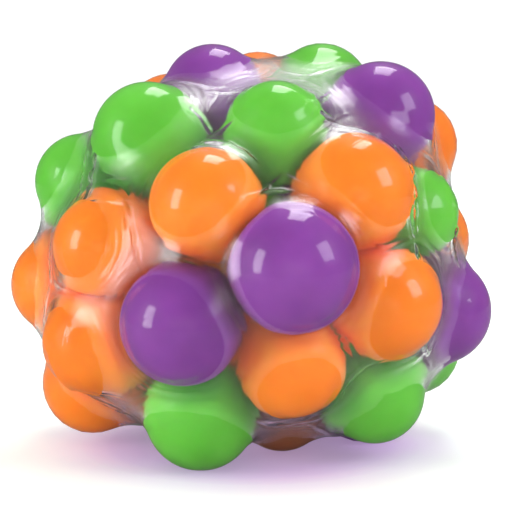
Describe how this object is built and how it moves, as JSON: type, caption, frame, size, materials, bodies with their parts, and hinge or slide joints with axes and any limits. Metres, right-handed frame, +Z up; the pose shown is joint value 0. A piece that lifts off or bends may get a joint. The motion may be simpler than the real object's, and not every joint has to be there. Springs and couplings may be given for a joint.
{
  "type": "squeeze ball",
  "caption": "Clear elastic squeeze ball: a glossy see-through skin stretched over a tight cluster of green, orange and purple gel balls, with a fill plug at the back.",
  "frame": {"origin": "middle of the bounding box's underside, on the surface that the ball rests on", "axes": "+Z up, the front (the side with the large middle bump) faces -Y, +X to the right of a viewer who looks at the front"},
  "size_m": [0.0804, 0.0776, 0.0668],
  "materials": {
    "clear_skin": "gloss",
    "plug": "gloss",
    "green_gel": "gloss",
    "orange_gel": "gloss",
    "purple_gel": "gloss"
  },
  "bodies": {
    "skin": {"skin": "clear_skin", "plug": "plug"},
    "purple_1": {"purple_1": "purple_gel"},
    "purple_2": {"purple_2": "purple_gel"},
    "purple_3": {"purple_3": "purple_gel"},
    "purple_4": {"purple_4": "purple_gel"},
    "purple_5": {"purple_5": "purple_gel"},
    "purple_6": {"purple_6": "purple_gel"},
    "orange_1": {"orange_1": "orange_gel"},
    "orange_2": {"orange_2": "orange_gel"},
    "orange_3": {"orange_3": "orange_gel"},
    "orange_4": {"orange_4": "orange_gel"},
    "orange_5": {"orange_5": "orange_gel"},
    "orange_6": {"orange_6": "orange_gel"},
    "orange_7": {"orange_7": "orange_gel"},
    "orange_8": {"orange_8": "orange_gel"},
    "orange_9": {"orange_9": "orange_gel"},
    "orange_10": {"orange_10": "orange_gel"},
    "orange_11": {"orange_11": "orange_gel"},
    "green_1": {"green_1": "green_gel"},
    "green_2": {"green_2": "green_gel"},
    "green_3": {"green_3": "green_gel"},
    "green_4": {"green_4": "green_gel"},
    "green_5": {"green_5": "green_gel"},
    "green_6": {"green_6": "green_gel"},
    "green_7": {"green_7": "green_gel"},
    "green_8": {"green_8": "green_gel"},
    "green_9": {"green_9": "green_gel"},
    "orange_12": {"orange_12": "orange_gel"},
    "purple_7": {"purple_7": "purple_gel"},
    "green_10": {"green_10": "green_gel"},
    "orange_13": {"orange_13": "orange_gel"},
    "green_11": {"green_11": "green_gel"},
    "purple_8": {"purple_8": "purple_gel"},
    "orange_14": {"orange_14": "orange_gel"},
    "orange_15": {"orange_15": "orange_gel"},
    "purple_9": {"purple_9": "purple_gel"},
    "orange_16": {"orange_16": "orange_gel"},
    "green_12": {"green_12": "green_gel"},
    "purple_10": {"purple_10": "purple_gel"},
    "orange_17": {"orange_17": "orange_gel"},
    "orange_18": {"orange_18": "orange_gel"},
    "purple_11": {"purple_11": "purple_gel"},
    "orange_19": {"orange_19": "orange_gel"},
    "orange_20": {"orange_20": "orange_gel"},
    "orange_21": {"orange_21": "orange_gel"},
    "green_13": {"green_13": "green_gel"},
    "purple_12": {"purple_12": "purple_gel"},
    "green_14": {"green_14": "green_gel"},
    "purple_13": {"purple_13": "purple_gel"},
    "green_15": {"green_15": "green_gel"},
    "orange_22": {"orange_22": "orange_gel"},
    "green_16": {"green_16": "green_gel"}
  },
  "joints": [
    {"name": "squeeze", "type": "slide", "parent": "skin", "child": "purple_3", "axis": [0, 0, -1], "range_m": [0, 0.006], "stiffness_N_per_m": 4000, "springref_m": -0.0005, "deforming": ["skin", "plug"]},
    {"name": "purple_1_follow", "type": "slide", "parent": "skin", "child": "purple_1", "axis": [0, 0, -1], "range_m": [0, 0.00355]},
    {"name": "purple_2_follow", "type": "slide", "parent": "skin", "child": "purple_2", "axis": [0, 0, -1], "range_m": [0, 0.0026]},
    {"name": "purple_4_follow", "type": "slide", "parent": "skin", "child": "purple_4", "axis": [0, 0, -1], "range_m": [0, 0.00569]},
    {"name": "purple_5_follow", "type": "slide", "parent": "skin", "child": "purple_5", "axis": [0, 0, -1], "range_m": [0, 0.00238]},
    {"name": "purple_6_follow", "type": "slide", "parent": "skin", "child": "purple_6", "axis": [0, 0, -1], "range_m": [0, 0.00074]},
    {"name": "orange_1_follow", "type": "slide", "parent": "skin", "child": "orange_1", "axis": [0, 0, -1], "range_m": [0, 0.00448]},
    {"name": "orange_2_follow", "type": "slide", "parent": "skin", "child": "orange_2", "axis": [0, 0, -1], "range_m": [0, 0.00463]},
    {"name": "orange_3_follow", "type": "slide", "parent": "skin", "child": "orange_3", "axis": [0, 0, -1], "range_m": [0, 0.00504]},
    {"name": "orange_4_follow", "type": "slide", "parent": "skin", "child": "orange_4", "axis": [0, 0, -1], "range_m": [0, 0.00281]},
    {"name": "orange_5_follow", "type": "slide", "parent": "skin", "child": "orange_5", "axis": [0, 0, -1], "range_m": [0, 0.00185]},
    {"name": "orange_6_follow", "type": "slide", "parent": "skin", "child": "orange_6", "axis": [0, 0, -1], "range_m": [0, 0.00369]},
    {"name": "orange_7_follow", "type": "slide", "parent": "skin", "child": "orange_7", "axis": [0, 0, -1], "range_m": [0, 0.00276]},
    {"name": "orange_8_follow", "type": "slide", "parent": "skin", "child": "orange_8", "axis": [0, 0, -1], "range_m": [0, 0.00206]},
    {"name": "orange_9_follow", "type": "slide", "parent": "skin", "child": "orange_9", "axis": [0, 0, -1], "range_m": [0, 0.00103]},
    {"name": "orange_10_follow", "type": "slide", "parent": "skin", "child": "orange_10", "axis": [0, 0, -1], "range_m": [0, 0.00578]},
    {"name": "orange_11_follow", "type": "slide", "parent": "skin", "child": "orange_11", "axis": [0, 0, -1], "range_m": [0, 0.00078]},
    {"name": "green_1_follow", "type": "slide", "parent": "skin", "child": "green_1", "axis": [0, 0, -1], "range_m": [0, 0.00541]},
    {"name": "green_2_follow", "type": "slide", "parent": "skin", "child": "green_2", "axis": [0, 0, -1], "range_m": [0, 0.00557]},
    {"name": "green_3_follow", "type": "slide", "parent": "skin", "child": "green_3", "axis": [0, 0, -1], "range_m": [0, 0.00598]},
    {"name": "green_4_follow", "type": "slide", "parent": "skin", "child": "green_4", "axis": [0, 0, -1], "range_m": [0, 0.00417]},
    {"name": "green_5_follow", "type": "slide", "parent": "skin", "child": "green_5", "axis": [0, 0, -1], "range_m": [0, 0.00112]},
    {"name": "green_6_follow", "type": "slide", "parent": "skin", "child": "green_6", "axis": [0, 0, -1], "range_m": [0, 0.00089]},
    {"name": "green_7_follow", "type": "slide", "parent": "skin", "child": "green_7", "axis": [0, 0, -1], "range_m": [0, 0.00453]},
    {"name": "green_8_follow", "type": "slide", "parent": "skin", "child": "green_8", "axis": [0, 0, -1], "range_m": [0, 0.00145]},
    {"name": "green_9_follow", "type": "slide", "parent": "skin", "child": "green_9", "axis": [0, 0, -1], "range_m": [0, 0.00239]},
    {"name": "orange_12_follow", "type": "slide", "parent": "skin", "child": "orange_12", "axis": [0, 0, -1], "range_m": [0, 0.00534]},
    {"name": "purple_7_follow", "type": "slide", "parent": "skin", "child": "purple_7", "axis": [0, 0, -1], "range_m": [0, 0.00087]},
    {"name": "green_10_follow", "type": "slide", "parent": "skin", "child": "green_10", "axis": [0, 0, -1], "range_m": [0, 0.00087]},
    {"name": "orange_13_follow", "type": "slide", "parent": "skin", "child": "orange_13", "axis": [0, 0, -1], "range_m": [0, 0.00339]},
    {"name": "green_11_follow", "type": "slide", "parent": "skin", "child": "green_11", "axis": [0, 0, -1], "range_m": [0, 0.004]},
    {"name": "purple_8_follow", "type": "slide", "parent": "skin", "child": "purple_8", "axis": [0, 0, -1], "range_m": [0, 0.0041]},
    {"name": "orange_14_follow", "type": "slide", "parent": "skin", "child": "orange_14", "axis": [0, 0, -1], "range_m": [0, 0.00102]},
    {"name": "orange_15_follow", "type": "slide", "parent": "skin", "child": "orange_15", "axis": [0, 0, -1], "range_m": [0, 0.00207]},
    {"name": "purple_9_follow", "type": "slide", "parent": "skin", "child": "purple_9", "axis": [0, 0, -1], "range_m": [0, 0.00413]},
    {"name": "orange_16_follow", "type": "slide", "parent": "skin", "child": "orange_16", "axis": [0, 0, -1], "range_m": [0, 0.00431]},
    {"name": "green_12_follow", "type": "slide", "parent": "skin", "child": "green_12", "axis": [0, 0, -1], "range_m": [0, 0.00246]},
    {"name": "purple_10_follow", "type": "slide", "parent": "skin", "child": "purple_10", "axis": [0, 0, -1], "range_m": [0, 0.00235]},
    {"name": "orange_17_follow", "type": "slide", "parent": "skin", "child": "orange_17", "axis": [0, 0, -1], "range_m": [0, 0.00143]},
    {"name": "orange_18_follow", "type": "slide", "parent": "skin", "child": "orange_18", "axis": [0, 0, -1], "range_m": [0, 0.00252]},
    {"name": "purple_11_follow", "type": "slide", "parent": "skin", "child": "purple_11", "axis": [0, 0, -1], "range_m": [0, 0.005]},
    {"name": "orange_19_follow", "type": "slide", "parent": "skin", "child": "orange_19", "axis": [0, 0, -1], "range_m": [0, 0.00241]},
    {"name": "orange_20_follow", "type": "slide", "parent": "skin", "child": "orange_20", "axis": [0, 0, -1], "range_m": [0, 0.00411]},
    {"name": "orange_21_follow", "type": "slide", "parent": "skin", "child": "orange_21", "axis": [0, 0, -1], "range_m": [0, 0.00382]},
    {"name": "green_13_follow", "type": "slide", "parent": "skin", "child": "green_13", "axis": [0, 0, -1], "range_m": [0, 0.00225]},
    {"name": "purple_12_follow", "type": "slide", "parent": "skin", "child": "purple_12", "axis": [0, 0, -1], "range_m": [0, 0.00197]},
    {"name": "green_14_follow", "type": "slide", "parent": "skin", "child": "green_14", "axis": [0, 0, -1], "range_m": [0, 0.00273]},
    {"name": "purple_13_follow", "type": "slide", "parent": "skin", "child": "purple_13", "axis": [0, 0, -1], "range_m": [0, 0.00229]},
    {"name": "green_15_follow", "type": "slide", "parent": "skin", "child": "green_15", "axis": [0, 0, -1], "range_m": [0, 0.00423]},
    {"name": "orange_22_follow", "type": "slide", "parent": "skin", "child": "orange_22", "axis": [0, 0, -1], "range_m": [0, 0.00296]},
    {"name": "green_16_follow", "type": "slide", "parent": "skin", "child": "green_16", "axis": [0, 0, -1], "range_m": [0, 0.0043]}
  ],
  "couplings": [
    {"joint": "purple_1_follow", "follows": "squeeze", "ratio": 0.5912},
    {"joint": "purple_2_follow", "follows": "squeeze", "ratio": 0.433},
    {"joint": "purple_4_follow", "follows": "squeeze", "ratio": 0.947},
    {"joint": "purple_5_follow", "follows": "squeeze", "ratio": 0.396},
    {"joint": "purple_6_follow", "follows": "squeeze", "ratio": 0.123},
    {"joint": "orange_1_follow", "follows": "squeeze", "ratio": 0.7464},
    {"joint": "orange_2_follow", "follows": "squeeze", "ratio": 0.7702},
    {"joint": "orange_3_follow", "follows": "squeeze", "ratio": 0.8386},
    {"joint": "orange_4_follow", "follows": "squeeze", "ratio": 0.4681},
    {"joint": "orange_5_follow", "follows": "squeeze", "ratio": 0.3074},
    {"joint": "orange_6_follow", "follows": "squeeze", "ratio": 0.6148},
    {"joint": "orange_7_follow", "follows": "squeeze", "ratio": 0.4585},
    {"joint": "orange_8_follow", "follows": "squeeze", "ratio": 0.343},
    {"joint": "orange_9_follow", "follows": "squeeze", "ratio": 0.1704},
    {"joint": "orange_10_follow", "follows": "squeeze", "ratio": 0.9628},
    {"joint": "orange_11_follow", "follows": "squeeze", "ratio": 0.1285},
    {"joint": "green_1_follow", "follows": "squeeze", "ratio": 0.9004},
    {"joint": "green_2_follow", "follows": "squeeze", "ratio": 0.9276},
    {"joint": "green_3_follow", "follows": "squeeze", "ratio": 0.9951},
    {"joint": "green_4_follow", "follows": "squeeze", "ratio": 0.6934},
    {"joint": "green_5_follow", "follows": "squeeze", "ratio": 0.1853},
    {"joint": "green_6_follow", "follows": "squeeze", "ratio": 0.1479},
    {"joint": "green_7_follow", "follows": "squeeze", "ratio": 0.7545},
    {"joint": "green_8_follow", "follows": "squeeze", "ratio": 0.241},
    {"joint": "green_9_follow", "follows": "squeeze", "ratio": 0.3983},
    {"joint": "orange_12_follow", "follows": "squeeze", "ratio": 0.8898},
    {"joint": "purple_7_follow", "follows": "squeeze", "ratio": 0.1444},
    {"joint": "green_10_follow", "follows": "squeeze", "ratio": 0.1436},
    {"joint": "orange_13_follow", "follows": "squeeze", "ratio": 0.5646},
    {"joint": "green_11_follow", "follows": "squeeze", "ratio": 0.6655},
    {"joint": "purple_8_follow", "follows": "squeeze", "ratio": 0.6833},
    {"joint": "orange_14_follow", "follows": "squeeze", "ratio": 0.1694},
    {"joint": "orange_15_follow", "follows": "squeeze", "ratio": 0.3434},
    {"joint": "purple_9_follow", "follows": "squeeze", "ratio": 0.6881},
    {"joint": "orange_16_follow", "follows": "squeeze", "ratio": 0.7167},
    {"joint": "green_12_follow", "follows": "squeeze", "ratio": 0.4096},
    {"joint": "purple_10_follow", "follows": "squeeze", "ratio": 0.3911},
    {"joint": "orange_17_follow", "follows": "squeeze", "ratio": 0.2379},
    {"joint": "orange_18_follow", "follows": "squeeze", "ratio": 0.4186},
    {"joint": "purple_11_follow", "follows": "squeeze", "ratio": 0.8322},
    {"joint": "orange_19_follow", "follows": "squeeze", "ratio": 0.4016},
    {"joint": "orange_20_follow", "follows": "squeeze", "ratio": 0.6846},
    {"joint": "orange_21_follow", "follows": "squeeze", "ratio": 0.6362},
    {"joint": "green_13_follow", "follows": "squeeze", "ratio": 0.3737},
    {"joint": "purple_12_follow", "follows": "squeeze", "ratio": 0.3278},
    {"joint": "green_14_follow", "follows": "squeeze", "ratio": 0.4534},
    {"joint": "purple_13_follow", "follows": "squeeze", "ratio": 0.3806},
    {"joint": "green_15_follow", "follows": "squeeze", "ratio": 0.7039},
    {"joint": "orange_22_follow", "follows": "squeeze", "ratio": 0.4917},
    {"joint": "green_16_follow", "follows": "squeeze", "ratio": 0.7153}
  ]
}
